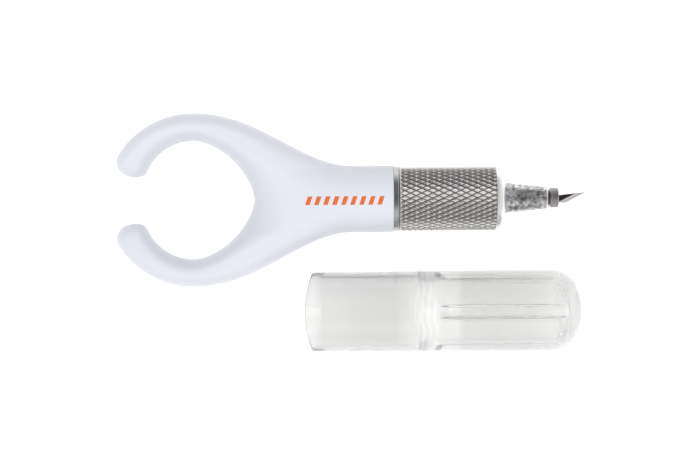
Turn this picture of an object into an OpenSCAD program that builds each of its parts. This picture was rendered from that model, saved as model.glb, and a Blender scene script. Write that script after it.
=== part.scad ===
// Fingertip craft knife with a swivelling blade, lying beside its clear cap.
// Lengths are in millimetres. The knife runs along X with the blade at +X, and both parts lie on z = 0.
// Stations named *_x are measured from the plane where the plastic shank meets the metal.

/* [Handle] */
// Distance from the shank's end face to the centre of the finger loop
loop_x = 39.0; // [37:0.1:40]
// Half the width of the loop over its outside
loop_outer_r = 17.0; // [16.5:0.1:18]
// Half the length of the finger opening, towards the shank
hole_a = 11.8; // [10.5:0.1:11.8]
// Half the width of the finger opening
hole_b = 11.65; // [10.5:0.05:12]
// Radius of the round shank, which is half the handle's thickness
shank_r = 6.5; // [6.4:0.05:7]
// Half the handle's thickness near the tips of the loop
tip_t = 4.3; // [3.5:0.1:5.5]
// Angle at which each arm of the loop ends, from the shank's direction
arm_end = 160; // [154:0.5:161]

/* [Metal body] */
// Radius of the knurled barrel
barrel_r = 6.35; // [6.2:0.05:6.4]
// Station of the barrel's flat front face
barrel_x = 21.7; // [20.5:0.1:23]
// Width of the smooth ring between the shank and the barrel
ring_w = 1.1; // [0.8:0.1:1.5]
// Length of the barrel's front chamfer
chamfer_l = 1.6; // [1:0.1:2]
// Depth of the knurl's grooves
knurl_h = 0.25; // [0.1:0.05:0.4]
// Radius of the nose where it leaves the barrel
nose_r = 3.0; // [2.8:0.05:3.1]
// Radius of the nose at its front end
nose_end_r = 2.15; // [2.1:0.05:2.4]
// Station of the nose's front end
nose_x = 30.6; // [30:0.1:32]

/* [Blade] */
// Radius of the collar that grips the blade
collar_r = 1.95; // [1.85:0.05:2.1]
// Length of that collar
collar_l = 1.75; // [1.5:0.05:2.2]
// Length of blade outside the collar
blade_l = 5.5; // [4:0.1:7]
// Thickness of the blade
blade_t = 0.5; // [0.4:0.05:0.6]
// Distance of the blade's tip from the swivel axis
tip_y = 1.1; // [0.8:0.1:1.3]

/* [Cap] */
// Length of the cap
cap_l = 54; // [52:0.5:58]
// Largest radius of the cap
cap_r = 8; // [7.9:0.05:8.4]
// Radius of the cap at its mouth
cap_mouth_r = 7.75; // [7.6:0.05:7.9]
// Radius of the bore that slides over the barrel and the shank
cap_bore_r = 6.65; // [6.6:0.05:6.8]
// Depth of that bore
cap_bore_l = 21.9; // [20:0.1:22]
// Radius of the chamber around the nose and the blade
chamber_r = 6.1; // [5.8:0.1:6.3]
// Radius inside the chamber's ribs
rib_r = 4.5; // [4:0.1:5]
// Distance between the knife's axis and the cap's axis
cap_gap_y = 22; // [21.5:0.1:26]
// Distance of the cap's mouth behind the shank's end face
cap_mouth_x = 17.3; // [16:0.1:18]

/* [Hidden] */
eps = 0.01;
fit = 0.05;
snug = 0.02;
round_fn = 96;
small_fn = 48;
ball_fn = 24;

// the whole part is centred on its bounding box, and rests on z = 0
tip_x = nose_x + collar_l + blade_l;
shift_y = (cap_gap_y + cap_r - loop_outer_r) / 2;
knife_z = shank_r;
cap_y = shift_y - cap_gap_y;

// handle: half thickness at the crown of an arm
arm_t = 6.0;
neck_end = 9.2;
neck_r = shank_r - 0.03;
edge_a = 12;
round_a = arm_end - 13;
loop_bulge = 0.35;
throat_run = 9.5;
arm_half = (loop_outer_r - hole_b) / 2;
hole_p = 1.63;

// stud and bores
stud_l = 11;
stud_r = 4.45;
thread_r = 4.0;
thread_end = 9.0;
lead_l = 0.4;
pocket_x = 9.3;
pocket_r = 4.6;
lip_x = 20;
lip_r = nose_r + 0.15;

// nose and its bearings
nose_back = 9.5;
nose_bore_r = 2.02;
nose_seat = 27.6;
nose_hole_r = 1.0;
race_r = 2.0;
race_w = 1.2;
race_in_r = 1.55;
hub_out_r = 1.15;
shaft_r = 0.73;
hub_bore_r = 0.75;
rear_x = 14.0;
front_x = nose_seat - race_w;
ball_r = 0.28;
ball_ring_r = (race_in_r + hub_out_r) / 2;
groove_r = ball_r + snug;
ball_count = 8;
shaft_back = 12.6;
clip_x = 13.45;
clip_w = 0.45;
clip_r = 1.5;
clip_groove_r = 0.5;
seat_w = 0.3;
spring_wire_r = 0.16;
spring_turns = 9;
spring_r = 1.68;
spring_seg = 20;
spring_sides = 8;
retainer_in_r = 1.7;

// head of the spindle and the blade
head_r = 1.35;
head_x = nose_x + 0.06;
slot_l = 1.5;
shank_w = 1.2;
screw_r = 0.35;
bevel_w = 0.9;
edge_t = 0.03;

// cap
cap_z = cap_r;
dome_l = 6.6;
dome_n = 2.35;
dome_steps = 14;
rim_dip = 1.3;
step_l = 1.6;
chamber_end = 51.6;
chamber_end_r = 5.8;
cdome_l = 4.6;
rib_w = 2.5;
rib_end_w = 2.05;
rib_count = 4;
mouth_l = 2.75;
mouth_r = cap_bore_r + 0.25;

// ---- handle -------------------------------------------------------------

// share of full thickness at a distance t (in edge widths) from an edge
function crown(t) = t >= 1 ? 1 : sqrt(max(0, 1 - pow(1 - t, 2)));
function mix(a, b, t) = a + (b - a) * min(max(t, 0), 1);
function smooth(t) = let (u = min(max(t, 0), 1)) u * u * (3 - 2 * u);

// radius of the finger opening at angle a from the shank's direction
function hole_r(a) = abs(a) <= 90
  ? pow(pow(cos(a) / hole_a, hole_p) + pow(abs(sin(a)) / hole_b, hole_p), -1 / hole_p)
  : hole_b - 0.65 * pow((abs(a) - 90) / 50, 2);
// half width of the handle at a distance x behind the shank's end face
function flare(x) = let (u = min(max((x - 8) / (loop_x - 8), 0), 1))
  shank_r + (loop_outer_r - shank_r) * (3 * u * u - 2 * u * u * u + 1.4 * pow(u, 2.5) * pow(1 - u, 2));
function flare_cos(x) = let (d = flare(x + 0.1) - flare(x - 0.1)) 1 / sqrt(1 + pow(d / 0.2, 2));

// outer end of the spoke whose inner end is at angle a
function outer_r(a) = loop_outer_r + loop_bulge * max(0, abs(a) - 90) / 60;
function side_x(a) = neck_end + (loop_x - neck_end) * pow((abs(a) - edge_a) / (90 - edge_a), 1.15);
function outer_pt(a) = abs(a) >= 90
  ? [-loop_x + outer_r(a) * cos(a), outer_r(a) * sin(a)]
  : abs(a) >= edge_a
    ? [-side_x(a), sign(a) * min(flare(side_x(a)), abs(a) <= edge_a ? neck_r : 99)]
    : [-neck_end, neck_r * sin(90 * a / edge_a)];
function inner_pt(a) = [-loop_x + hole_r(a) * cos(a), hole_r(a) * sin(a)];

// the arms' ends are rounded in plan
function end_t(a) = max(0, (abs(a) - round_a) / (arm_end - round_a));
function end_w(a) = sqrt(max(0, 1 - pow(end_t(a), 2.3)));
function squeeze(p, q, a, t) = let (m = (p + q) / 2) m + ((p + (q - p) * t) - m) * end_w(a);
function plan_pt(a, t) = squeeze(inner_pt(a), outer_pt(a), a, t);

function crest(a) = abs(a) < 90 ? mix(shank_r, arm_t, smooth((abs(a) - 35) / 55))
  : mix(arm_t, tip_t, pow((abs(a) - 90) / 60, 1.6));
function in_run(a) = mix(throat_run, arm_half, smooth((abs(a) - 10) / 75));
function out_run(a) = mix(shank_r, arm_half, smooth((abs(a) - 20) / 50));
function depth(a, t) = let (
    p = plan_pt(a, t),
    d_in = norm(p - plan_pt(a, 0)),
    d_out = abs(a) >= 90 ? norm(plan_pt(a, 1) - p)
      : max(0, (flare(-p[0]) - abs(p[1])) * flare_cos(-p[0])))
  abs(a) <= edge_a && t == 1 ? sqrt(max(0, pow(neck_r, 2) - pow(p[1], 2)))
  : crest(a) * end_w(a) * crown(d_in / (in_run(a) * end_w(a) + eps)) * crown(d_out / (out_run(a) * end_w(a) + eps));

// spokes from one arm's end to the other, each from the opening to the outside
spokes = concat(
  [for (i = [1 : 7]) -arm_end + (arm_end - round_a) * (1 - cos(90 * i / 7))],
  [for (i = [1 : 22]) -round_a + (round_a - edge_a) * i / 22],
  [for (i = [1 : 11]) -edge_a + 2 * edge_a * i / 12],
  [for (i = [0 : 21]) edge_a + (round_a - edge_a) * i / 22],
  [for (i = [0 : 6]) arm_end - (arm_end - round_a) * (1 - cos(90 * (7 - i) / 7))]);
n_spoke = len(spokes);
steps = 14;
shares = [for (j = [0 : steps]) (1 - cos(180 * j / steps)) / 2];

function upper(i, j) = let (p = plan_pt(spokes[i], shares[j])) [p[0], p[1], depth(spokes[i], shares[j])];
function lower(i, j) = let (p = upper(i, j)) [p[0], p[1], -p[2]];
function flat_end(i) = abs(spokes[i]) < edge_a - eps;
function at_end(i) = i < 0 || i >= n_spoke;

// vertex numbers: the upper sheet, then the lower one, which shares the upper one's free edges
row = steps + 1;
sheet = n_spoke * row;
function up_id(i, j) = i < 0 ? 2 * sheet : i >= n_spoke ? 2 * sheet + 1 : i * row + j;
function low_id(i, j) = at_end(i) || j == 0 || (j == steps && !flat_end(i)) ? up_id(i, j) : sheet + i * row + j;

tip_a = plan_pt(-arm_end, 0.5);
tip_b = plan_pt(arm_end, 0.5);
handle_pts = concat(
  [for (i = [0 : n_spoke - 1], j = [0 : steps]) j == 0 || (j == steps && !flat_end(i))
    ? [upper(i, j)[0], upper(i, j)[1], 0] : upper(i, j)],
  [for (i = [0 : n_spoke - 1], j = [0 : steps]) lower(i, j)],
  [[tip_a[0], tip_a[1], 0], [tip_b[0], tip_b[1], 0]]);

inner_cells = [for (i = [0 : n_spoke - 2], j = [0 : steps - 1]) [i, j]];
end_face = concat(
  [for (i = [0 : n_spoke - 1]) if (abs(spokes[i]) <= edge_a + eps) up_id(i, steps)],
  [for (k = [0 : n_spoke - 1]) let (i = n_spoke - 1 - k) if (flat_end(i)) low_id(i, steps)]);
handle_faces = concat(
  [for (c = inner_cells) [up_id(c[0], c[1]), up_id(c[0] + 1, c[1]), up_id(c[0] + 1, c[1] + 1)]],
  [for (c = inner_cells) [up_id(c[0], c[1]), up_id(c[0] + 1, c[1] + 1), up_id(c[0], c[1] + 1)]],
  [for (c = inner_cells) [low_id(c[0], c[1]), low_id(c[0] + 1, c[1] + 1), low_id(c[0] + 1, c[1])]],
  [for (c = inner_cells) [low_id(c[0], c[1]), low_id(c[0], c[1] + 1), low_id(c[0] + 1, c[1] + 1)]],
  [for (j = [0 : steps - 1]) [up_id(-1, 0), up_id(0, j), up_id(0, j + 1)]],
  [for (j = [0 : steps - 1]) [up_id(-1, 0), low_id(0, j + 1), low_id(0, j)]],
  [for (j = [0 : steps - 1]) [up_id(n_spoke, 0), up_id(n_spoke - 1, j + 1), up_id(n_spoke - 1, j)]],
  [for (j = [0 : steps - 1]) [up_id(n_spoke, 0), low_id(n_spoke - 1, j), low_id(n_spoke - 1, j + 1)]],
  [end_face]);

// ---- shared placement ----------------------------------------------------

handle_l = -min([for (p = handle_pts) p[0]]);
shift_x = (handle_l - tip_x) / 2;

module on_knife() {
  translate([shift_x, shift_y, knife_z]) children();
}
// turns a profile of [radius, station] points about the knife's axis
module turned(points, fn = round_fn) {
  on_knife() rotate([0, 90, 0]) rotate_extrude($fn = fn) polygon(points);
}
module tube(x0, x1, r_in, r_out, fn = small_fn) {
  turned([[r_in, x0], [r_out, x0], [r_out, x1], [r_in, x1]], fn);
}

module handle() {
  color([0.93, 0.94, 0.97]) difference() {
    on_knife() union() {
      polyhedron(handle_pts, handle_faces, convexity = 8);
      translate([-neck_end - 0.6, 0, 0]) rotate([0, 90, 0]) cylinder(h = neck_end + 0.6, r = shank_r, $fn = round_fn);
    }
    on_knife() translate([-stud_l - 1, 0, 0]) rotate([0, 90, 0])
      cylinder(h = stud_l + 1 + eps, r = stud_r + fit, $fn = small_fn);
  }
}

// stud moulded into the shank: rings hold it there, and its free end stands in for the thread
module threaded_stud() {
  color([0.72, 0.72, 0.74]) turned([[0, -stud_l], [stud_r - 0.4, -stud_l], [stud_r, -stud_l + 0.4],
    [stud_r, -7.6], [stud_r - 0.5, -7.4], [stud_r - 0.5, -6.4], [stud_r, -6.2], [stud_r, -3.6],
    [stud_r - 0.5, -3.4], [stud_r - 0.5, -2.4], [stud_r, -2.2], [stud_r, -eps], [thread_r, 0],
    [thread_r, thread_end - 0.6], [thread_r - 0.6, thread_end], [0, thread_end]], small_fn);
}

module ferrule_ring() {
  color([0.8, 0.81, 0.82]) turned([[thread_r + fit, 0], [barrel_r - 0.12, 0], [barrel_r, 0.12],
    [barrel_r, ring_w - 0.2], [barrel_r - 0.15, ring_w], [thread_r + fit, ring_w]]);
}

// the knurled length is drawn at the crests' radius
module barrel() {
  color([0.78, 0.79, 0.8]) turned([[thread_r + fit, ring_w], [barrel_r - knurl_h, ring_w],
    [barrel_r, ring_w + lead_l], [barrel_r, barrel_x - chamfer_l], [barrel_r - 0.2, barrel_x - 1.0],
    [barrel_r - 0.6, barrel_x - 0.45], [barrel_r - 1.2, barrel_x - 0.12], [barrel_r - 1.8, barrel_x],
    [lip_r, barrel_x], [lip_r, lip_x], [pocket_r, lip_x], [pocket_r, pocket_x], [thread_r + fit, pocket_x]]);
}

module nose_cone() {
  color([0.75, 0.76, 0.78]) turned([[nose_bore_r, nose_back], [pocket_r - 0.35, nose_back],
    [pocket_r - fit, nose_back + 0.3], [pocket_r - fit, lip_x - fit], [lip_r - fit, lip_x - fit],
    [lip_r - fit, barrel_x], [nose_r, barrel_x], [nose_end_r, nose_x - 0.65], [nose_end_r - 0.25, nose_x],
    [nose_hole_r, nose_x], [nose_hole_r, nose_seat], [nose_bore_r, nose_seat]]);
}

module bearing_retainer() {
  color([0.55, 0.55, 0.57]) tube(nose_back + 0.4, rear_x, retainer_in_r, race_r);
}

// a race or hub with a ball groove halfway along it
module race(x0) {
  m = x0 + race_w / 2;
  turned([[race_r, x0], [race_r, x0 + race_w], [race_in_r, x0 + race_w], [race_in_r, m + 0.2],
    [ball_ring_r + groove_r, m + 0.08], [ball_ring_r + groove_r, m - 0.08], [race_in_r, m - 0.2],
    [race_in_r, x0]], small_fn);
}
module hub(x0) {
  m = x0 + race_w / 2;
  turned([[hub_bore_r, x0], [hub_out_r, x0], [hub_out_r, m - 0.2], [ball_ring_r - groove_r, m - 0.08],
    [ball_ring_r - groove_r, m + 0.08], [hub_out_r, m + 0.2], [hub_out_r, x0 + race_w],
    [hub_bore_r, x0 + race_w]], small_fn);
}
module balls(x0) {
  on_knife() for (i = [0 : ball_count - 1]) {
    rotate([360 * i / ball_count, 0, 0]) translate([x0 + race_w / 2, 0, ball_ring_r])
      sphere(r = ball_r, $fn = ball_fn);
  }
}

module rear_race() {
  color([0.6, 0.6, 0.63]) race(rear_x);
}
module front_race() {
  color([0.6, 0.6, 0.63]) race(front_x);
}
module rear_balls() {
  color([0.85, 0.85, 0.87]) balls(rear_x);
}
module front_balls() {
  color([0.85, 0.85, 0.87]) balls(front_x);
}
module rear_hub() {
  color([0.6, 0.6, 0.63]) hub(rear_x);
}
module front_hub() {
  color([0.6, 0.6, 0.63]) hub(front_x);
}

// coil spring that keeps the two races apart
spring_x0 = rear_x + race_w + spring_wire_r;
spring_x1 = front_x - seat_w - spring_wire_r;
spring_n = spring_turns * spring_seg;
function coil_pt(i, k) = let (
    a = 360 * i / spring_seg,
    b = 360 * k / spring_sides,
    r = spring_r + spring_wire_r * cos(b))
  [spring_x0 + (spring_x1 - spring_x0) * i / spring_n + spring_wire_r * sin(b), r * cos(a), r * sin(a)];
module preload_spring() {
  coil_cells = [for (i = [0 : spring_n - 1], k = [0 : spring_sides - 1]) [i, k, (k + 1) % spring_sides]];
  color([0.7, 0.7, 0.72]) on_knife() polyhedron(
    [for (i = [0 : spring_n], k = [0 : spring_sides - 1]) coil_pt(i, k)],
    concat(
      [for (c = coil_cells) [c[0] * spring_sides + c[1], (c[0] + 1) * spring_sides + c[2],
        (c[0] + 1) * spring_sides + c[1]]],
      [for (c = coil_cells) [c[0] * spring_sides + c[1], c[0] * spring_sides + c[2],
        (c[0] + 1) * spring_sides + c[2]]],
      [[for (k = [0 : spring_sides - 1]) spring_sides - 1 - k]],
      [[for (k = [0 : spring_sides - 1]) spring_n * spring_sides + k]]), convexity = 12);
}
module spring_seat() {
  color([0.66, 0.62, 0.5]) tube(front_x - seat_w, front_x, race_in_r - 0.1, race_r);
}
module hub_spacer() {
  color([0.62, 0.62, 0.65]) tube(rear_x + race_w, front_x, hub_bore_r, hub_out_r);
}

// shaft with a clip groove at the back and a slotted head at the front
module spindle() {
  color([0.66, 0.66, 0.7]) difference() {
    turned([[0, shaft_back], [shaft_r - 0.1, shaft_back], [shaft_r, shaft_back + 0.1], [shaft_r, clip_x],
      [clip_groove_r, clip_x], [clip_groove_r, clip_x + clip_w], [shaft_r, clip_x + clip_w],
      [shaft_r, head_x], [head_r, head_x], [head_r, nose_x + collar_l - 0.1],
      [head_r - 0.1, nose_x + collar_l], [0, nose_x + collar_l]], small_fn);
    on_knife() translate([nose_x + collar_l - slot_l, -shank_w / 2 - snug, -blade_t / 2 - snug])
      cube([slot_l + eps, shank_w + 2 * snug, blade_t + 2 * snug]);
    on_knife() translate([nose_x + collar_l / 2, 0, -head_r - 1]) cylinder(h = head_r + 1, r = screw_r + snug, $fn = ball_fn);
  }
}

module retaining_clip() {
  color([0.35, 0.35, 0.38]) difference() {
    tube(clip_x + snug, clip_x + clip_w - snug, clip_groove_r + snug, clip_r);
    on_knife() translate([clip_x - 1, -clip_groove_r, 0]) cube([3, 2 * clip_groove_r, 3]);
  }
}

module blade_collar() {
  color([0.7, 0.71, 0.73]) difference() {
    turned([[head_r + snug, head_x], [collar_r - 0.1, head_x], [collar_r, head_x + 0.1],
      [collar_r, nose_x + collar_l - 0.2], [collar_r - 0.2, nose_x + collar_l],
      [head_r + snug, nose_x + collar_l]], small_fn);
    on_knife() translate([nose_x + collar_l / 2, 0, -collar_r - 1]) cylinder(h = collar_r + 1, r = screw_r + snug, $fn = ball_fn);
  }
}

module clamp_screw() {
  color([0.3, 0.3, 0.33]) on_knife() translate([nose_x + collar_l / 2, 0, -collar_r + 0.12])
    cylinder(h = collar_r - 0.12 - blade_t / 2, r = screw_r, $fn = ball_fn);
}

// blade: a narrow shank in the slot, and a point offset to one side of the swivel axis
module blade() {
  x0 = nose_x + collar_l;
  sx = x0 - slot_l + snug;
  top = [x0 + snug, 0.47];
  under = [x0 + snug, -0.95];
  heel = [x0 + 1.45, -1.02];
  point = [x0 + blade_l, tip_y];
  edge = point - heel;
  color([0.3, 0.3, 0.33]) on_knife() intersection() {
    translate([0, 0, -blade_t / 2]) linear_extrude(blade_t) polygon([[sx, -shank_w / 2], [x0 + snug, -shank_w / 2],
      under, heel + (heel - under) / 2, point + (point - top) / 2, top, [sx, 0.47]]);
    translate([heel[0], heel[1], 0]) rotate([0, 0, atan2(edge[1], edge[0])]) rotate([90, 0, 90])
      translate([0, 0, -10]) linear_extrude(20) polygon([[0, -edge_t / 2], [bevel_w, -blade_t / 2],
        [9, -blade_t / 2], [9, blade_t / 2], [bevel_w, blade_t / 2], [0, edge_t / 2]]);
  }
}

// ---- cap ----------------------------------------------------------------

function dome(l, r, x_end) = [for (i = [0 : dome_steps]) let (a = 90 * i / dome_steps)
  [r * pow(cos(a), 2 / dome_n), x_end - l + l * pow(sin(a), 2 / dome_n)]];
module cap_place() {
  translate([shift_x - cap_mouth_x, cap_y, cap_z]) children();
}
module cap_turned(points) {
  cap_place() rotate([0, 90, 0]) rotate_extrude($fn = round_fn) polygon(points);
}
module cap_rib() {
  rotate([0, 0, -90])
    translate([0, cap_bore_l, rib_r]) linear_extrude(cap_r) polygon([[-rib_w / 2, 0],
      [rib_w / 2, 0], [rib_end_w / 2, cap_l], [-rib_end_w / 2, cap_l]]);
}
module cap() {
  color([0.9, 0.92, 0.92, 0.35]) difference() {
    cap_turned(concat([[0, 0], [cap_mouth_r - 0.15, 0], [cap_mouth_r, 0.15]], dome(dome_l, cap_r, cap_l)));
    cap_turned([[0, -1], [mouth_r, -1], [mouth_r, mouth_l], [cap_bore_r, mouth_l + 0.3],
      [cap_bore_r, cap_bore_l], [chamber_r, cap_bore_l + step_l], [0, cap_bore_l + step_l]]);
    difference() {
      cap_turned(concat([[0, cap_bore_l], [chamber_r, cap_bore_l]],
        dome(cdome_l, chamber_end_r, chamber_end)));
      cap_place() for (i = [0 : rib_count - 1]) {
        rotate([360 * i / rib_count, 0, 0]) cap_rib();
      }
    }
  }
}

handle();
threaded_stud();
ferrule_ring();
barrel();
nose_cone();
bearing_retainer();
rear_race();
front_race();
preload_spring();
spring_seat();
rear_balls();
front_balls();
rear_hub();
front_hub();
hub_spacer();
spindle();
retaining_clip();
blade_collar();
clamp_screw();
blade();
cap();
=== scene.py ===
import math

import bpy
import numpy as np
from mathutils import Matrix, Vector


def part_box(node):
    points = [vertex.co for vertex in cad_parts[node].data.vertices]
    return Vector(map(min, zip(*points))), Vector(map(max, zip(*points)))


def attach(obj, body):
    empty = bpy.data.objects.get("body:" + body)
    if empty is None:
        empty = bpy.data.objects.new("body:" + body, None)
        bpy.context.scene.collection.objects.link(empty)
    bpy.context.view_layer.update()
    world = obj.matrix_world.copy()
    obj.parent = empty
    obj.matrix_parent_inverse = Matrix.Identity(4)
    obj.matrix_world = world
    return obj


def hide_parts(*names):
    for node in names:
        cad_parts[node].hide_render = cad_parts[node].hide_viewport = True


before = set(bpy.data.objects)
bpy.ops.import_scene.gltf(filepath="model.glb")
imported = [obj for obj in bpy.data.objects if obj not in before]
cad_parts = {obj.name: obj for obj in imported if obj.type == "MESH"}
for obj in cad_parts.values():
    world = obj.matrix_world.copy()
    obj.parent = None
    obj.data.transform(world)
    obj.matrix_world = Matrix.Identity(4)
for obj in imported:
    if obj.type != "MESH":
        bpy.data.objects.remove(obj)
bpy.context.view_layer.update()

MM = 0.001
PI = math.pi

# ---------------------------------------------------------------- places taken from the frame
ring_lo, ring_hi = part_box("ferrule_ring")
bar_lo, bar_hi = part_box("barrel")
cap_lo, cap_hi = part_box("cap")
X0 = ring_lo.x                      # plane where the plastic shank meets the metal
KY = (bar_lo.y + bar_hi.y) / 2      # knife axis
KZ = (bar_lo.z + bar_hi.z) / 2
CX = cap_lo.x                       # cap's mouth and axis
CY = (cap_lo.y + cap_hi.y) / 2
CZ = (cap_lo.z + cap_hi.z) / 2

# All dimensions below are in millimetres from X0 along the knife, or from CX along the cap.


# ---------------------------------------------------------------- mesh helpers
def add_mesh(name, verts, faces, sharp=35.0, mats=(), face_mats=None):
    me = bpy.data.meshes.new(name)
    me.from_pydata([tuple(v) for v in verts], [], [tuple(f) for f in faces])
    me.validate()
    me.update()
    me.shade_smooth()
    if sharp is not None:
        me.set_sharp_from_angle(angle=math.radians(sharp))
    for m in mats:
        me.materials.append(m)
    if face_mats is not None:
        me.polygons.foreach_set("material_index", np.array(face_mats, np.int32))
    ob = bpy.data.objects.new(name, me)
    bpy.context.scene.collection.objects.link(ob)
    return ob


def point_value(ob, name, values):
    """A value on every vertex, which a material reads by its name."""
    at = ob.data.attributes.new(name, "FLOAT", "POINT")
    at.data.foreach_set("value", np.asarray(values, np.float32).reshape(-1))


def on_knife(verts):
    return np.array(verts) * MM + np.array([X0, KY, KZ])


def grid_faces(n_u, n_v, wrap_v=True):
    """Quads of an n_u by n_v grid of vertices that closes along u, with v running fastest."""
    out = []
    for i in range(n_u):
        a, b = i * n_v, ((i + 1) % n_u) * n_v
        for j in range(n_v if wrap_v else n_v - 1):
            k = (j + 1) % n_v
            out.append((a + k, b + k, b + j, a + j))
    return out


def angles(n):
    return np.arange(n) * 2 * PI / n


def columns(n, points):
    """The radii of a profile of (x, radius) points, the same at each of n angles."""
    return np.tile(np.array([r for _, r in points]), (n, 1))


def turned(name, xs, r, mats, sharp, wrap_v=True, face_mats=None):
    """A piece around the knife's axis, where r[i, j] is the radius at angle i and place xs[j]."""
    th = angles(len(r))[:, None]
    v = np.empty((*r.shape, 3))
    v[..., 0] = X0 + np.asarray(xs) * MM
    v[..., 1] = KY + r * MM * np.cos(th)
    v[..., 2] = KZ + r * MM * np.sin(th)
    faces = grid_faces(len(r), len(xs), wrap_v)
    return add_mesh(name, v.reshape(-1, 3), faces, sharp, mats, face_mats)


def round_profile(points, radius, steps=3):
    """Rounds each corner of a closed profile of (x, radius) points."""
    pts = [np.array(p, float) for p in points]
    out = []
    for i, p in enumerate(pts):
        a, b = pts[i - 1], pts[(i + 1) % len(pts)]
        la, lb = np.linalg.norm(a - p), np.linalg.norm(b - p)
        d = min(radius, 0.4 * la, 0.4 * lb)
        s, e = p + (a - p) / la * d, p + (b - p) / lb * d
        for t in np.linspace(0, 1, steps):
            out.append((1 - t) ** 2 * s + 2 * t * (1 - t) * p + t * t * e)
    return out


def lathe(name, points, mats, n, radius):
    """A plain turned piece with rounded corners."""
    prof = round_profile(points, radius)
    return turned(name, [x for x, _ in prof], columns(n, prof), mats, 40)


# ---------------------------------------------------------------- material helpers
def new_mat(name):
    m = bpy.data.materials.new(name)
    m.use_nodes = True
    nt = m.node_tree
    nt.nodes.clear()
    out = nt.nodes.new("ShaderNodeOutputMaterial")
    p = nt.nodes.new("ShaderNodeBsdfPrincipled")
    nt.links.new(p.outputs[0], out.inputs[0])
    return m, nt, p


def node(nt, kind, **values):
    """A new node. A name that starts with _ sets a property, and any other one sets an input."""
    nd = nt.nodes.new(kind)
    for k, v in values.items():
        if k.startswith("_"):
            setattr(nd, k[1:], v)
        else:
            nd.inputs[k].default_value = v
    return nd


def noise(nt, scale, detail=3.0, rough=0.55, stretch=(1, 1, 1)):
    tc = node(nt, "ShaderNodeTexCoord")
    mp = node(nt, "ShaderNodeMapping", Scale=stretch)
    nt.links.new(tc.outputs["Object"], mp.inputs["Vector"])
    nz = node(nt, "ShaderNodeTexNoise", Scale=scale, Detail=detail, Roughness=rough)
    nt.links.new(mp.outputs[0], nz.inputs["Vector"])
    return nz.outputs[0]


def to_range(nt, socket, lo, hi, in_lo=0.3, in_hi=0.7):
    mr = nt.nodes.new("ShaderNodeMapRange")
    for key, value in (("From Min", in_lo), ("From Max", in_hi), ("To Min", lo), ("To Max", hi)):
        mr.inputs[key].default_value = value
    nt.links.new(socket, mr.inputs["Value"])
    return mr.outputs[0]


def math_of(nt, kind, a, b):
    """A math node on two inputs, each a socket or a number."""
    nd = node(nt, "ShaderNodeMath", _operation=kind)
    for i, value in enumerate((a, b)):
        if isinstance(value, (int, float)):
            nd.inputs[i].default_value = value
        else:
            nt.links.new(value, nd.inputs[i])
    return nd


def color_mix(nt, factor, a, b):
    mx = node(nt, "ShaderNodeMix", _data_type="RGBA")
    mx.inputs["A"].default_value = (*a, 1)
    mx.inputs["B"].default_value = (*b, 1)
    nt.links.new(factor, mx.inputs["Factor"])
    return mx.outputs["Result"]


def mesh_value(nt, name):
    return node(nt, "ShaderNodeAttribute", _attribute_name=name).outputs["Fac"]


def bump(nt, p, height, strength, distance):
    b = node(nt, "ShaderNodeBump", Strength=strength, Distance=distance)
    nt.links.new(height, b.inputs["Height"])
    nt.links.new(b.outputs[0], p.inputs["Normal"])


def mirror_ray(nt):
    """The light path node, and 1 for a ray that a surface mirrors, not one that it refracts."""
    path = node(nt, "ShaderNodeLightPath")
    both = math_of(nt, "MULTIPLY", path.outputs["Is Glossy Ray"], path.outputs["Is Reflection Ray"])
    return path, both.outputs[0]


# ---------------------------------------------------------------- materials
def metal(name, light, dark, rough, rings=True, scale=900.0, strength=0.25, pits=0.0, depth=0.00003):
    """Metal with small changes of tone and roughness, and fine turning rings around X or a plain grain."""
    m, nt, p = new_mat(name)
    p.inputs["Metallic"].default_value = 1.0
    texture = noise(nt, scale, 4.0, 0.6, (1, 0.03, 0.03) if rings else (1, 1, 1))
    tone = to_range(nt, noise(nt, scale * 0.35), 0, 1)
    grain = math_of(nt, "MULTIPLY", noise(nt, scale * 2.5, 2.0, 0.5), 0.4 + pits)
    nt.links.new(color_mix(nt, tone, light, dark), p.inputs["Base Color"])
    nt.links.new(to_range(nt, texture, rough * 0.75, rough * 1.35), p.inputs["Roughness"])
    bump(nt, p, math_of(nt, "ADD", texture, grain.outputs[0]).outputs[0], strength, depth)
    return m


def make_white():
    """White moulded plastic with a faint, wide grain."""
    m, nt, p = new_mat("white_plastic")
    tone = to_range(nt, noise(nt, 60), 0, 1)
    nt.links.new(color_mix(nt, tone, (0.74, 0.76, 0.82), (0.733, 0.754, 0.814)), p.inputs["Base Color"])
    nt.links.new(to_range(nt, noise(nt, 150, 2.0), 0.30, 0.33), p.inputs["Roughness"])
    p.inputs["IOR"].default_value = 1.5
    p.inputs["Specular IOR Level"].default_value = 0.28
    bump(nt, p, noise(nt, 420, 2.0), 0.03, 0.00002)
    return m


def make_ink():
    """Printed orange ink, slightly uneven."""
    m, nt, p = new_mat("orange_ink")
    grain = noise(nt, 2500)
    nt.links.new(color_mix(nt, to_range(nt, grain, 0, 1), (0.80, 0.13, 0.012), (0.86, 0.17, 0.025)),
                 p.inputs["Base Color"])
    p.inputs["Roughness"].default_value = 0.35
    bump(nt, p, grain, 0.1, 0.00001)
    return m


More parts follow.
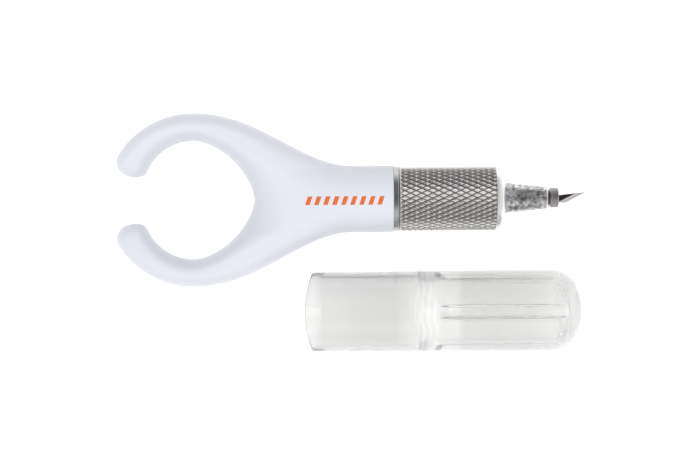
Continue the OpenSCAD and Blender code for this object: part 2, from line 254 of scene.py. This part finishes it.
def make_clear():
    """Clear plastic: a painted shade value darkens its tone along the cap, with painted highlight stripes at
    the shoulder, and haze makes it milky. It throws almost no shadow.
    """
    m, nt, p = new_mat("clear_plastic")
    waves = noise(nt, 35, 2.0)
    # the tone mixes random waves with the mesh's painted shade value, which also carries painted highlight
    # stripes
    shade_tone = math_of(nt, "MULTIPLY_ADD", to_range(nt, waves, -0.5, 0.5), 0.35)
    nt.links.new(mesh_value(nt, "wall"), shade_tone.inputs[2])
    nt.links.new(color_mix(nt, shade_tone.outputs[0], (0.995, 0.996, 0.990), (0.900, 0.902, 0.895)),
                 p.inputs["Base Color"])
    nt.links.new(to_range(nt, mesh_value(nt, "haze"), 0.9, 0.45, 0.0, 1.0), p.inputs["Transmission Weight"])
    p.inputs["IOR"].default_value = 1.40
    nt.links.new(to_range(nt, noise(nt, 120, 2.0), 0.03, 0.07), p.inputs["Roughness"])
    bump(nt, p, waves, 0.06, 0.0002)
    path = node(nt, "ShaderNodeLightPath")
    through = node(nt, "ShaderNodeBsdfTransparent", Color=(0.95, 0.95, 0.95, 1))
    mix = node(nt, "ShaderNodeMixShader")
    out = [nd for nd in nt.nodes if nd.bl_idname == "ShaderNodeOutputMaterial"][0]
    nt.links.new(path.outputs["Is Shadow Ray"], mix.inputs[0])
    nt.links.new(p.outputs[0], mix.inputs[1])
    nt.links.new(through.outputs[0], mix.inputs[2])
    nt.links.new(mix.outputs[0], out.inputs[0])
    return m


def make_knurl():
    """Cut aluminium with painted shade: the grooves between the diamonds are painted dark, and the crests stay
    bright.
    """
    m, nt, p = new_mat("barrel_metal")
    p.inputs["Metallic"].default_value = 1.0
    grain = noise(nt, 900, 4.0)
    height = to_range(nt, mesh_value(nt, "crest"), 0, 1, 0.0, 0.45)
    # painted shade: the base colour darkens from the diamonds' crests down into the grooves
    nt.links.new(color_mix(nt, height, (0.12, 0.11, 0.11), (0.76, 0.745, 0.735)), p.inputs["Base Color"])
    nt.links.new(to_range(nt, grain, 0.18, 0.30), p.inputs["Roughness"])
    bump(nt, p, grain, 0.35, 0.00002)
    return m


WHITE = make_white()
INK = make_ink()
CLEAR = make_clear()
BARREL = make_knurl()
BARREL_SMOOTH = metal("barrel_metal_turned", (0.735, 0.73, 0.715), (0.70, 0.695, 0.68), 0.26)
NOSE = metal("nose_metal", (0.70, 0.69, 0.70), (0.11, 0.10, 0.11), 0.16, rings=False, scale=4200,
             strength=0.8, pits=1.2, depth=0.000012)
COLLAR = metal("collar_metal", (0.40, 0.385, 0.385), (0.30, 0.29, 0.29), 0.3, rings=False, strength=0.5)
RING = metal("ring_metal", (0.46, 0.46, 0.465), (0.38, 0.38, 0.385), 0.22)
STEEL = metal("steel", (0.60, 0.60, 0.62), (0.50, 0.50, 0.52), 0.25)
BEARING = metal("bearing_steel", (0.80, 0.80, 0.82), (0.72, 0.72, 0.74), 0.1)
SPRING = metal("spring_steel", (0.55, 0.55, 0.57), (0.42, 0.42, 0.44), 0.3, rings=False)
BRASS = metal("brass", (0.80, 0.62, 0.30), (0.66, 0.48, 0.22), 0.25)
# painted reflection: the blade's flat faces take a very dark steel for the dark reflection on them, and its
# bevel a bright steel, a painted highlight
BLADE_PAINTED_DARK = metal("blade_flat_painted_dark", (0.10, 0.085, 0.09), (0.055, 0.045, 0.05), 0.32, rings=False, scale=1500)
BEVEL_PAINTED_GLINT = metal("blade_bevel_painted_glint", (0.82, 0.80, 0.79), (0.66, 0.64, 0.63), 0.3, rings=False, scale=1800)


# ---------------------------------------------------------------- handle
# An angle of 0 looks from the loop's middle to the shank, and 180 through the split.
HOLE_A, HOLE_B, HOLE_P = 11.8, 11.65, 1.63         # half axes and power of the opening's front half
LOOP_R, LOOP_X, SHANK_R = 17.0, 39.0, 6.5          # loop's outer radius and middle, shank's radius
LOOP_BULGE = 0.32                                  # how much wider the arms stand near their ends
ARM_HALF = (LOOP_R - HOLE_B) / 2
EDGE_A, ROUND_A, ARM_END = 12.0, 147.0, 160.0      # angles: shank's end face, arm's rounding, arm's end
END_ROUND = 2.3                                    # power of the arm's rounded end
ARM_DEPTH, TIP_DEPTH = 6.0, 4.3                    # half depths at the loop's widest point and at its ends
THROAT_RUN = 9.5                                   # how far the opening's edge rounds off at the shank
END_R, SOCKET_R, SOCKET_L = 0.12, 4.5, 12.0        # shank's edge radius and the stud's hole


def smooth(t):
    u = np.clip(t, 0, 1)
    return u * u * (3 - 2 * u)


def crown(t):
    """A quarter circle's height, from 0 at its edge to 1."""
    return np.sqrt(np.maximum(0, 1 - (1 - np.clip(t, 0, 1)) ** 2))


def flare(x):
    """Half width of the neck at x behind the shank's end."""
    u = np.clip((x - 8) / (LOOP_X - 8), 0, 1)
    return SHANK_R + (LOOP_R - SHANK_R) * (3 * u ** 2 - 2 * u ** 3 + 1.4 * u ** 2.5 * (1 - u) ** 2)


def hole_r(a):
    """Radius of the opening at each angle."""
    c, s = np.cos(np.radians(a)), np.abs(np.sin(np.radians(a)))
    front = ((np.abs(c) / HOLE_A) ** HOLE_P + (s / HOLE_B) ** HOLE_P) ** (-1 / HOLE_P)
    return np.where(np.abs(a) <= 90, front, HOLE_B - 0.65 * ((np.abs(a) - 90) / 50) ** 2)


def handle_angles():
    """Angles across the handle, closer together at the arms' rounded ends."""
    arm = (ARM_END - ROUND_A) * (1 - np.cos(np.linspace(0.06, 1, 22) * PI / 2))
    return np.concatenate([-ARM_END + arm,
                           np.linspace(-ROUND_A, -EDGE_A, 170)[1:],
                           np.linspace(-EDGE_A, EDGE_A, 72)[1:-1],
                           np.linspace(EDGE_A, ROUND_A, 170)[:-1],
                           (ARM_END - arm)[::-1]])


def handle_plan(a, end_w):
    """Points seen from above, for each angle from the opening's edge to the outer edge."""
    aa, ra = np.abs(a), np.radians(a)
    inner = np.stack([-LOOP_X + hole_r(a) * np.cos(ra), hole_r(a) * np.sin(ra)], 1)
    ro = LOOP_R + LOOP_BULGE * np.maximum(0, aa - 90) / 60
    arm = np.stack([-LOOP_X + ro * np.cos(ra), ro * np.sin(ra)], 1)
    sx = END_R + (LOOP_X - END_R) * (np.clip((aa - EDGE_A) / (90 - EDGE_A), 0, None)) ** 1.15
    neck = np.stack([-sx, np.sign(a) * flare(sx)], 1)
    face = np.stack([-END_R + 0 * a, SHANK_R * np.sin(PI / 2 * a / EDGE_A)], 1)
    outer = np.where((aa >= 90)[:, None], arm, neck)
    outer = np.where((aa < EDGE_A)[:, None], face, outer)
    across = ((1 - np.cos(np.linspace(0, PI, 73))) / 2)[None, :, None]
    mid = ((inner + outer) / 2)[:, None]
    return mid + (inner[:, None] + (outer - inner)[:, None] * across - mid) * end_w[:, None, None]


def handle_height(p, aa, end_w):
    """Half depth at each point of the plan: a crest that rounds off to both edges."""
    d_in = np.linalg.norm(p - p[:, :1], axis=2)
    d_arm = np.linalg.norm(p - p[:, -1:], axis=2)
    slope = (flare(-p[..., 0] + 0.1) - flare(-p[..., 0] - 0.1)) / 0.2
    d_neck = np.maximum(0, (flare(-p[..., 0]) - np.abs(p[..., 1])) / np.sqrt(1 + slope ** 2))
    d_out = np.where((aa >= 90)[:, None], d_arm, d_neck)
    crest = np.where(aa < 90, SHANK_R + (ARM_DEPTH - SHANK_R) * smooth((aa - 35) / 55),
                     ARM_DEPTH + (TIP_DEPTH - ARM_DEPTH) * np.clip((aa - 90) / 60, 0, 1) ** 1.6)
    in_run = THROAT_RUN + (ARM_HALF - THROAT_RUN) * smooth((aa - 10) / 75)
    out_run = SHANK_R + (ARM_HALF - SHANK_R) * smooth((aa - 20) / 50)
    inside = crown(d_in / (in_run * end_w + 1e-6)[:, None])
    return (crest * end_w)[:, None] * inside * crown(d_out / (out_run * end_w + 1e-6)[:, None])


def handle_mesh():
    a = handle_angles()
    aa = np.abs(a)
    end_w = np.sqrt(np.maximum(0, 1 - (np.maximum(0, aa - ROUND_A) / (ARM_END - ROUND_A)) ** END_ROUND))
    p = handle_plan(a, end_w)
    z = handle_height(p, aa, end_w)
    n, m = p.shape[:2]
    at_face = aa < EDGE_A - 1e-6
    verts, faces = [], []
    up = np.empty((n, m), int)
    lo = np.empty((n, m), int)
    for i in range(n):
        for j in range(m):
            at_end_face = j == m - 1 and at_face[i]
            at_rim = j == 0 or (j == m - 1 and not at_face[i])
            half_z = 0.0 if at_rim else z[i, j]
            if at_end_face:
                half_z = math.sqrt(max(0.0, SHANK_R ** 2 - p[i, j, 1] ** 2))
            up[i, j] = lo[i, j] = len(verts)
            verts.append((*p[i, j], half_z))
            if not at_rim:
                lo[i, j] = len(verts)
                verts.append((*p[i, j], -half_z))
    for i in range(n - 1):
        for j in range(m - 1):
            faces.append((up[i, j], up[i + 1, j], up[i + 1, j + 1], up[i, j + 1])[::-1])
            faces.append((lo[i, j], lo[i + 1, j], lo[i + 1, j + 1], lo[i, j + 1]))
    for i, turn in ((0, 1), (n - 1, -1)):           # the arms' ends
        tip = len(verts)
        verts.append((*((p[i, 0] + p[i, -1]) / 2), 0.0))
        for j in range(m - 1):
            faces.append((tip, up[i, j + 1], up[i, j])[::turn])
            faces.append((tip, lo[i, j], lo[i, j + 1])[::turn])

    def band(source, last, x, factor):
        """Copies the loop `source` to x, scaled about the axis, and joins it to the loop `last`."""
        new = []
        for vid in source:
            y, zz = verts[vid][1:]
            q = factor(y, zz)
            new.append(len(verts))
            verts.append((x, y * q, zz * q))
        for c in range(len(new)):
            d = (c + 1) % len(new)
            faces.append((last[c], last[d], new[d], new[c]))
        return new

    # the shank's edge radius, its flat end and the stud's hole
    front = [i for i in range(n) if aa[i] <= EDGE_A + 1e-6]
    loop = [up[i, m - 1] for i in front] + [lo[i, m - 1] for i in reversed(front) if at_face[i]]
    last = loop
    for s in np.radians((30, 60, 90)):
        shrink = 1 - END_R * (1 - math.cos(s)) / SHANK_R
        last = band(loop, last, -END_R + END_R * math.sin(s), lambda y, zz: shrink)
    mouth = band(last, last, 0.0, lambda y, zz: SOCKET_R / math.hypot(y, zz))
    faces.append(tuple(band(mouth, mouth, -SOCKET_L, lambda y, zz: 1.0)))
    return add_mesh("handle_body", on_knife(verts), faces, 50, [WHITE])


handle = handle_mesh()
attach(handle, "handle_unit")
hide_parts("handle")

# printed mark: a plain row of slanted bars on the top of the shank
BARS, BAR_PITCH, BAR_W, BAR_HALF, BAR_LEAN = 9, 1.74, 0.86, 0.82, 0.55
BAR_X, BAR_Y, BAR_STEPS = -16.4, -0.4, 12          # first bar's middle, row's middle, steps along a bar
INK_LIFT = 0.012


def mark_mesh():
    verts, faces = [], []
    for b in range(BARS):
        base = len(verts)
        for i in range(BAR_STEPS + 1):
            t = i / BAR_STEPS
            y = BAR_Y + BAR_HALF * (2 * t - 1)
            for w in (-BAR_W / 2, BAR_W / 2):
                x = BAR_X + BAR_PITCH * b + BAR_LEAN * (t - 0.5) + w
                d = (float(flare(-x)) - abs(y)) / SHANK_R
                verts.append((x, y, INK_LIFT + SHANK_R * float(crown(d))))
        for q in range(base, base + 2 * BAR_STEPS, 2):
            faces.append((q, q + 1, q + 3, q + 2))
    ob = add_mesh("handle_mark", on_knife(verts), faces, None, [INK])
    ink = ob.modifiers.new("ink", "SOLIDIFY")
    ink.thickness = 0.02 * MM
    ink.offset = 0
    return ob


mark = mark_mesh()
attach(mark, "handle_unit")

# ---------------------------------------------------------------- metal body
ring = lathe("ferrule_ring_turned", [(0.0, 4.06), (0.0, 6.3), (0.06, 6.35), (0.92, 6.35), (1.0, 6.3),
                                     (1.1, 6.18), (1.1, 4.06)], [RING], 192, 0.03)
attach(ring, "handle_unit")
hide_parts("ferrule_ring")

STUD_R, THREAD_DEPTH, THREAD_PITCH = 3.98, 0.42, 0.75


def stud_mesh():
    """The stud: ribs in the plastic, and a thread on its free end."""
    n = 96
    th = angles(n)[:, None]
    ribs = [(-11.0, 0.0), (-11.0, 4.05), (-10.6, 4.45), (-7.6, 4.45), (-7.4, 3.95), (-6.4, 3.95), (-6.2, 4.45),
            (-3.6, 4.45), (-3.4, 3.95), (-2.4, 3.95), (-2.2, 4.45), (-0.02, 4.45), (0.0, 3.95)]
    tip = [(9.0, 3.35), (9.0, 0.0)]
    tx = np.linspace(0.3, 8.6, 178)
    turn = (tx / THREAD_PITCH - th / (2 * PI)) % 1
    groove = np.clip(np.abs(turn - 0.5) * 2.4 - 0.1, 0, 1)
    fade = np.clip(np.minimum((tx - 0.2) / 0.8, (8.7 - tx) / 0.6), 0, 1)
    thread = STUD_R - THREAD_DEPTH * groove * fade - 0.3 * np.maximum(0, (tx - 8.2) / 0.5)
    xs = [x for x, _ in ribs] + list(tx) + [x for x, _ in tip]
    r = np.concatenate([columns(n, ribs), thread, columns(n, tip)], 1)
    return turned("threaded_stud_turned", xs, r, [BRASS], 40, wrap_v=False)


stud = stud_mesh()
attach(stud, "handle_unit")
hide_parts("threaded_stud")

BARREL_R, KNURL_DEPTH, KNURL_STARTS, KNURL_PITCH = 6.35, 0.30, 40, 2.157
KNURL_X0, KNURL_X1 = 1.28, 20.05
CREST_CUT = 0.99                                   # flattens each diamond's very top


def barrel_mesh():
    """The barrel: a diamond knurl cut into its outside, turned ends, and a stepped bore."""
    n = KNURL_STARTS * 14
    start = angles(n)[:, None] * KNURL_STARTS / (2 * PI)
    kx = np.linspace(KNURL_X0, KNURL_X1, 131)
    rise = np.abs((start + kx / KNURL_PITCH) % 1 - 0.5)
    fall = np.abs((start - kx / KNURL_PITCH) % 1 - 0.5)
    h = np.minimum(np.minimum(rise, fall) * 2.0, CREST_CUT)
    cut = (1 - h / CREST_CUT) * np.clip(np.minimum((kx - KNURL_X0) / 0.18, (KNURL_X1 - kx) / 0.12), 0, 1)
    back = [(9.3, 4.05), (1.1, 4.05), (1.1, 5.95), (1.12, 6.12), (1.2, 6.2)]
    front = [(20.1, 6.33), (20.3, 6.31), (20.6, 6.22), (20.9, 6.06), (21.2, 5.8), (21.42, 5.5), (21.58, 5.15),
             (21.67, 4.8), (21.7, 4.5), (21.7, 3.28), (21.66, 3.2), (21.55, 3.16), (20.0, 3.15), (20.0, 4.6),
             (9.3, 4.6)]
    xs = [x for x, _ in back] + list(kx) + [x for x, _ in front]
    r = np.concatenate([columns(n, back), BARREL_R - KNURL_DEPTH * cut, columns(n, front)], 1)
    smooth_mat = np.ones(len(xs), int)
    knurled = slice(len(back), len(back) + len(kx))
    smooth_mat[knurled] = 0
    ob = turned("barrel_knurled", xs, r, [BARREL, BARREL_SMOOTH], 24, face_mats=np.tile(smooth_mat, n))
    crest = np.ones(r.shape)
    crest[:, knurled] = 1 - cut
    # the crest height, which the barrel's material turns into painted shade in the grooves
    point_value(ob, "crest", crest)
    return ob


barrel = barrel_mesh()
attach(barrel, "barrel_unit")
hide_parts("barrel")

nose = lathe("nose_cone_turned", [
    (9.5, 2.02), (9.5, 4.25), (9.8, 4.55), (19.95, 4.55), (19.95, 3.1), (21.7, 3.1), (21.75, 3.0),
    (25.0, 2.66), (29.95, 2.15), (30.0, 2.1), (30.6, 1.5), (30.6, 1.0), (27.6, 1.0), (27.6, 2.02)],
    [NOSE, BARREL_SMOOTH], 160, 0.05)
CHAMFER_X0, CHAMFER_X1, CHAMFER_R = 29.97, 30.59, 1.45     # the nose's end chamfer is plain turned metal
# painted highlight: the chamfer's faces take the brighter plain turned metal, without the nose's dark mottle,
# for the bright band on it
for poly in nose.data.polygons:
    px, py, pz = poly.center
    if X0 + CHAMFER_X0 * MM < px < X0 + CHAMFER_X1 * MM and math.hypot(py - KY, pz - KZ) > CHAMFER_R * MM:
        poly.material_index = 1
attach(nose, "nose_unit")
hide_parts("nose_cone")

SERRATIONS, SERRATION_DEPTH = 40, 0.05


def collar_mesh():
    """The collar, with fine axial serrations on its outside."""
    n = 240
    prof = [(30.66, 1.37), (30.66, 1.8), (30.72, 1.9), (30.82, 1.93), (30.9, 1.94), (32.1, 1.94), (32.18, 1.93),
            (32.28, 1.86), (32.35, 1.75), (32.35, 1.37)]
    r = columns(n, prof)
    r[:, 4:6] -= SERRATION_DEPTH * (0.5 + 0.5 * np.cos(angles(n) * SERRATIONS))[:, None]
    return turned("blade_collar_turned", [x for x, _ in prof], r, [COLLAR], 35)


collar = collar_mesh()
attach(collar, "swivel_unit")
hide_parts("blade_collar")

BLADE_X = 32.35                                    # collar's front face
BLADE_HALF_T, EDGE_HALF_T = 0.25, 0.012
TANG_X, ROOT_X = BLADE_X - 1.48, BLADE_X + 0.02


def blade_mesh():
    """The blade: a flat body, and a ground bevel on both sides of its slanted edge."""
    steps = 24
    heel, point = np.array([BLADE_X + 1.45, -1.02]), np.array([BLADE_X + 5.5, 1.1])
    root, top = np.array([ROOT_X, -0.95]), np.array([ROOT_X, 0.47])
    grind_start, grind_end = root + (0.02, 0.10), top + (point - top) * 0.62
    t = np.arange(steps + 1)[:, None] / steps
    cutting = heel + (point - heel) * t
    grind = grind_start + (grind_end - grind_start) * t
    body = [(TANG_X, -0.6), (ROOT_X, -0.6), root, top, (TANG_X, 0.47)]
    g = steps + 1                                  # first vertex of the grind line
    c = 2 * g                                      # first vertex of the body's corners
    half = c + len(body)                           # vertices on one side
    verts, faces, bevel = [], [], []

    def face(ids, is_bevel):
        faces.append(tuple(ids))
        bevel.append(is_bevel)

    for side, sgn in enumerate((1, -1)):
        verts += [(*q, sgn * EDGE_HALF_T) for q in cutting]
        verts += [(*q, sgn * BLADE_HALF_T) for q in list(grind) + body]
        b = side * half
        flat = [b + c, b + c + 1, b + c + 2] + [b + g + i for i in range(g)] + [b + c + 3, b + c + 4]
        for i in range(steps):
            face((b + i, b + i + 1, b + g + 1 + i, b + g + i)[::sgn], 1)
        face(flat[::sgn], 0)
        face((b + c + 2, b, b + g)[::sgn], 1)      # the heel's facet

    def rim(path, is_bevel=0):
        for p, q in zip(path[:-1], path[1:]):
            face((p, p + half, q + half, q), is_bevel)

    rim([c + 3, c + 4, c, c + 1, c + 2, 0])
    rim(range(g), 1)
    rim([steps, c - 1, c + 3])
    # the flat faces carry the painted dark reflection, and the bevel the painted highlight
    return add_mesh("blade_ground", on_knife(verts), faces, 8, [BLADE_PAINTED_DARK, BEVEL_PAINTED_GLINT], bevel)


blade = blade_mesh()
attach(blade, "swivel_unit")
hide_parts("blade")

# ---------------------------------------------------------------- cap
CAP_L, CAP_R, CAP_M = 54.0, 8.0, 7.75              # length, radius at the dome's root and at the mouth
BORE_R, BORE_L = 6.65, 21.9                        # bore for the barrel, up to the shoulder
CHAM_R, CHAM_R1, CHAM_E = 6.1, 5.8, 51.6           # chamber's radius at its two ends, and its end
RIB_R, RIB_A, RIB_FLANK = 4.5, 9.4, 3.4            # ribs: crest's radius, half angle and flank's angle
SIDE_A, SIDE_FLANK = 4.0, 20.0                     # the two side ribs have wider, softer flanks
DOME_L, DOME_IN, DOME_P = 6.6, 4.6, 2.35           # dome's length outside and inside, and its power
SHOULDER_L = 2.6

# painted shade: how much darker the clear plastic is painted at each place along the cap, and how milky it is
WALL_SHADE = [(0.0, 0.15), (2.6, 0.2), (3.4, 0.85), (17.0, 1.0), (21.4, 0.30), (23.6, 0.45), (25.2, 0.12),
        (29.6, 0.15), (30.8, 0.75), (38.0, 0.85), (44.0, 0.70), (48.5, 0.35), (54.0, 0.10)]
HAZE = [(21.2, 0.0), (22.6, 0.55), (24.4, 0.55), (26.8, 0.0), (49.5, 0.0), (53.0, 1.0)]


def rim_shift(x, th):
    """The mouth's rim dips at both sides, and the dip dies away along the cap."""
    return 1.3 * np.cos(th) ** 2 * np.clip(1 - x / 9.0, 0, 1) ** 2


def cap_rings(th):
    """(x, radius) of the cap's rings: outside from dome to mouth, then inside from mouth to end."""
    beside = np.abs(np.cos(th)) > 0.7
    off = np.degrees(np.abs((th + PI / 4) % (PI / 2) - PI / 4))      # angle from the nearest rib's middle
    rib = 1 - smooth((off - np.where(beside, SIDE_A, RIB_A)) / np.where(beside, SIDE_FLANK, RIB_FLANK))
    e = 2 / DOME_P
    out = []
    for a in np.radians(np.linspace(88.5, 0, 40)):
        out.append((CAP_L - DOME_L + DOME_L * math.sin(a) ** e, CAP_R * math.cos(a) ** e))
    for x in np.linspace(CAP_L - 7.2, 0.5, 150):
        out.append((x, CAP_M + (CAP_R - CAP_M) * (x / (CAP_L - DOME_L))))
    out += [(0.28, CAP_M - 0.01), (0.1, CAP_M - 0.06), (0.0, CAP_M - 0.18), (0.0, 7.42), (0.08, 7.30)]
    for x in np.linspace(0.2, 2.9, 10):
        out.append((x, 7.22 - 0.50 * (x - 0.2) / 2.7))
    out.append((3.15, 6.68))
    for x in np.linspace(3.4, BORE_L - 0.5, 36):
        out.append((x, BORE_R))
    for t in np.linspace(0.02, 1, 34):             # the shoulder, with slight moulded waves
        x = BORE_L - 0.3 + SHOULDER_L * t
        wave = np.sin(2 * PI * x / 0.95 + 1.4 * np.sin(5 * th) + 0.8 * np.sin(11 * th))
        r = BORE_R + (CHAM_R - BORE_R) * float(smooth(t))
        out.append((x, r + 0.025 * wave * math.sin(PI * t) ** 2))
    dome_x = CHAM_E - DOME_IN
    for x in np.concatenate([np.linspace(BORE_L + 2.4, BORE_L + 6.6, 18),
                             np.linspace(BORE_L + 7.0, CHAM_E - 5, 32),
                             dome_x + DOME_IN * np.sin(np.radians(np.linspace(4, 88, 22))) ** e]):
        u = np.clip((x - dome_x) / DOME_IN, 0, 1)
        rc = CHAM_R + (CHAM_R1 - CHAM_R) * (x - BORE_L) / (CHAM_E - BORE_L)
        rc = rc * max(0.0, 1 - u ** DOME_P) ** (1 / DOME_P)
        ramp = float(smooth((x - BORE_L - 3.0) / 3.4))             # the ribs start in a ramp
        rib_r = min(rc - max(rc - RIB_R, 0.0) * ramp, rc - 0.002)
        out.append((x, rc - (rc - rib_r) * rib))
    return out


def cap_mesh():
    n = 360
    th = (np.arange(n) + 0.5) * 2 * PI / n
    rings = cap_rings(th)
    v = np.concatenate([np.stack([np.full(n, x), r * np.cos(th), r * np.sin(th)], 1) for x, r in rings])
    v[:, 0] += rim_shift(v[:, 0], np.arctan2(v[:, 2], v[:, 1]))
    last = (len(rings) - 1) * n
    dome, end = len(v), len(v) + 1                 # the two poles
    v = np.concatenate([v, [(CAP_L, 0.0, 0.0), (CHAM_E, 0.0, 0.0)]])
    turn = [(j, (j + 1) % n) for j in range(n)]
    faces = [(a + j, a + n + j, a + n + k, a + k) for a in range(0, last, n) for j, k in turn]
    for j, k in turn:
        faces.append((dome, j, k))
        faces.append((end, last + k, last + j))
    ob = add_mesh("cap_shell", v * MM + np.array([CX, CY, CZ]), faces, None, [CLEAR])
    x, ang = v[:, 0], np.arctan2(v[:, 2], v[:, 1])
    near = np.clip(1 - np.abs(x - BORE_L - 1.4) / 2.4, 0, 1)       # 1 at the shoulder
    # painted highlight stripes at the shoulder: light and dark waves added to the painted shade value
    glint_ripple = 0.9 * near * np.sin(2 * PI * x / 1.15 + 1.5 * np.sin(5 * ang) + 0.9 * np.sin(11 * ang + 1))
    point_value(ob, "wall", np.interp(x, *zip(*WALL_SHADE)) + glint_ripple)
    point_value(ob, "haze", np.interp(x, *zip(*HAZE)))
    return ob


cap = cap_mesh()
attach(cap, "cap_unit")
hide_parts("cap")

# ---------------------------------------------------------------- finish of the CAD pieces that stay
FINISH = {
    "bearing_retainer": STEEL, "hub_spacer": STEEL, "spindle": STEEL, "clamp_screw": STEEL,
    "rear_race": BEARING, "rear_hub": BEARING, "rear_balls": BEARING,
    "front_race": BEARING, "front_hub": BEARING, "front_balls": BEARING,
    "preload_spring": SPRING, "retaining_clip": SPRING, "spring_seat": BRASS,
}
for name, mat in FINISH.items():
    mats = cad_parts[name].data.materials
    mats.clear()
    mats.append(mat)

# ---------------------------------------------------------------- floor
FLOOR_HALF, FLOOR_Z = 1.5, -0.0001                 # metres


def make_floor_paper():
    """White paper. It glows a little where the camera or a mirrored ray meets it, so it reads white."""
    m, nt, p = new_mat("floor_paper")
    nt.links.new(color_mix(nt, to_range(nt, noise(nt, 8), 0, 1), (0.80, 0.80, 0.80), (0.79, 0.79, 0.79)),
                 p.inputs["Base Color"])
    p.inputs["Roughness"].default_value = 0.9
    p.inputs["Specular IOR Level"].default_value = 0.1
    p.inputs["Emission Color"].default_value = (1.0, 1.0, 1.0, 1)
    path, mirrored = mirror_ray(nt)
    seen = math_of(nt, "ADD", path.outputs["Is Camera Ray"], mirrored)
    seen.use_clamp = True
    nt.links.new(to_range(nt, seen.outputs[0], 0.0, 0.6, 0.0, 1.0), p.inputs["Emission Strength"])
    return m


corners = [(sx * FLOOR_HALF, sy * FLOOR_HALF, FLOOR_Z) for sx, sy in ((-1, -1), (1, -1), (1, 1), (-1, 1))]
floor = add_mesh("floor", corners, [(0, 1, 2, 3)], None, [make_floor_paper()])

# ---------------------------------------------------------------- light
scene = bpy.context.scene


def ramp(nt, socket, stops):
    """Grey levels at the given places, read by a value."""
    nd = node(nt, "ShaderNodeValToRGB")
    cr = nd.color_ramp
    for e, (pos, val) in zip((cr.elements[0], cr.elements[1]), (stops[0], stops[-1])):
        e.position, e.color = pos, (val, val, val, 1)
    for pos, val in stops[1:-1]:
        cr.elements.new(pos).color = (val, val, val, 1)
    nt.links.new(socket, nd.inputs[0])
    return nd.outputs[0]


def screen(nt, a, b):
    mx = node(nt, "ShaderNodeMix", _data_type="RGBA", _blend_type="SCREEN")
    mx.inputs["Factor"].default_value = 1.0
    nt.links.new(a, mx.inputs["A"])
    nt.links.new(b, mx.inputs["B"])
    return mx.outputs["Result"]


def make_studio():
    """A soft tent. Mirrored rays see it darker, with bright sides, a bright base and a bright right end."""
    world = bpy.data.worlds.new("studio")
    scene.world = world
    world.use_nodes = True
    wt = world.node_tree
    sky = wt.nodes["Background"]
    sky.inputs["Strength"].default_value = 1.0
    way = node(wt, "ShaderNodeSeparateXYZ")
    wt.links.new(node(wt, "ShaderNodeTexCoord").outputs["Generated"], way.inputs[0])
    across = to_range(wt, way.outputs["Y"], 0.0, 1.0, -1.0, 1.0)
    sides = ramp(wt, across, [(0.0, 0.85), (0.03, 1.0), (0.16, 1.0), (0.27, 0.45), (0.38, 0.25),
                              (0.8, 0.25), (0.97, 0.30), (1.0, 0.7)])
    base = ramp(wt, way.outputs["Z"], [(0.0, 1.0), (0.16, 0.95), (0.46, 0.0), (1.0, 0.0)])
    right_end = ramp(wt, way.outputs["X"], [(0.0, 0.0), (0.32, 0.0), (0.50, 0.95), (1.0, 1.0)])
    plain = ramp(wt, across, [(0.0, 0.80), (0.5, 0.72), (1.0, 0.56)])
    pick = node(wt, "ShaderNodeMix", _data_type="RGBA")
    wt.links.new(mirror_ray(wt)[1], pick.inputs["Factor"])
    wt.links.new(plain, pick.inputs["A"])
    wt.links.new(screen(wt, screen(wt, sides, base), right_end), pick.inputs["B"])
    wt.links.new(pick.outputs["Result"], sky.inputs["Color"])


def soft_light(name, place, size, power):
    """A large soft lamp that faces the middle and isn't mirrored in metal. Metres and watts."""
    d = bpy.data.lights.new(name, "AREA")
    d.shape = "RECTANGLE"
    d.size, d.size_y = size
    d.energy = power
    o = bpy.data.objects.new(name, d)
    scene.collection.objects.link(o)
    o.location = place
    o.rotation_euler = (-Vector(place)).to_track_quat("-Z", "Y").to_euler()
    o.visible_glossy = False


make_studio()
soft_light("soft_front", (0.0, -0.60, 0.50), (0.9, 0.35), 0.45)
soft_light("soft_left", (-0.50, 0.0, 0.62), (0.35, 0.60), 1.5)
soft_light("soft_right", (0.50, 0.0, 0.62), (0.35, 0.60), 1.7)

# ---------------------------------------------------------------- camera, straight above
VIEW_W = 137.255                                   # width of the view at the knife's axis
LENS, SENSOR = 100.0, 36.0
cam_data = bpy.data.cameras.new("camera")
cam_data.lens, cam_data.sensor_width = LENS, SENSOR
cam_data.clip_start = 0.01
cam = bpy.data.objects.new("camera", cam_data)
scene.collection.objects.link(cam)
cam.location = (X0 - 8.5 * MM, KY - 6.95 * MM, KZ + VIEW_W * MM * LENS / SENSOR)
cam.rotation_euler = (0, 0, math.radians(-0.40))
scene.camera = cam
scene.view_settings.view_transform = "Standard"
scene.view_settings.look = "None"
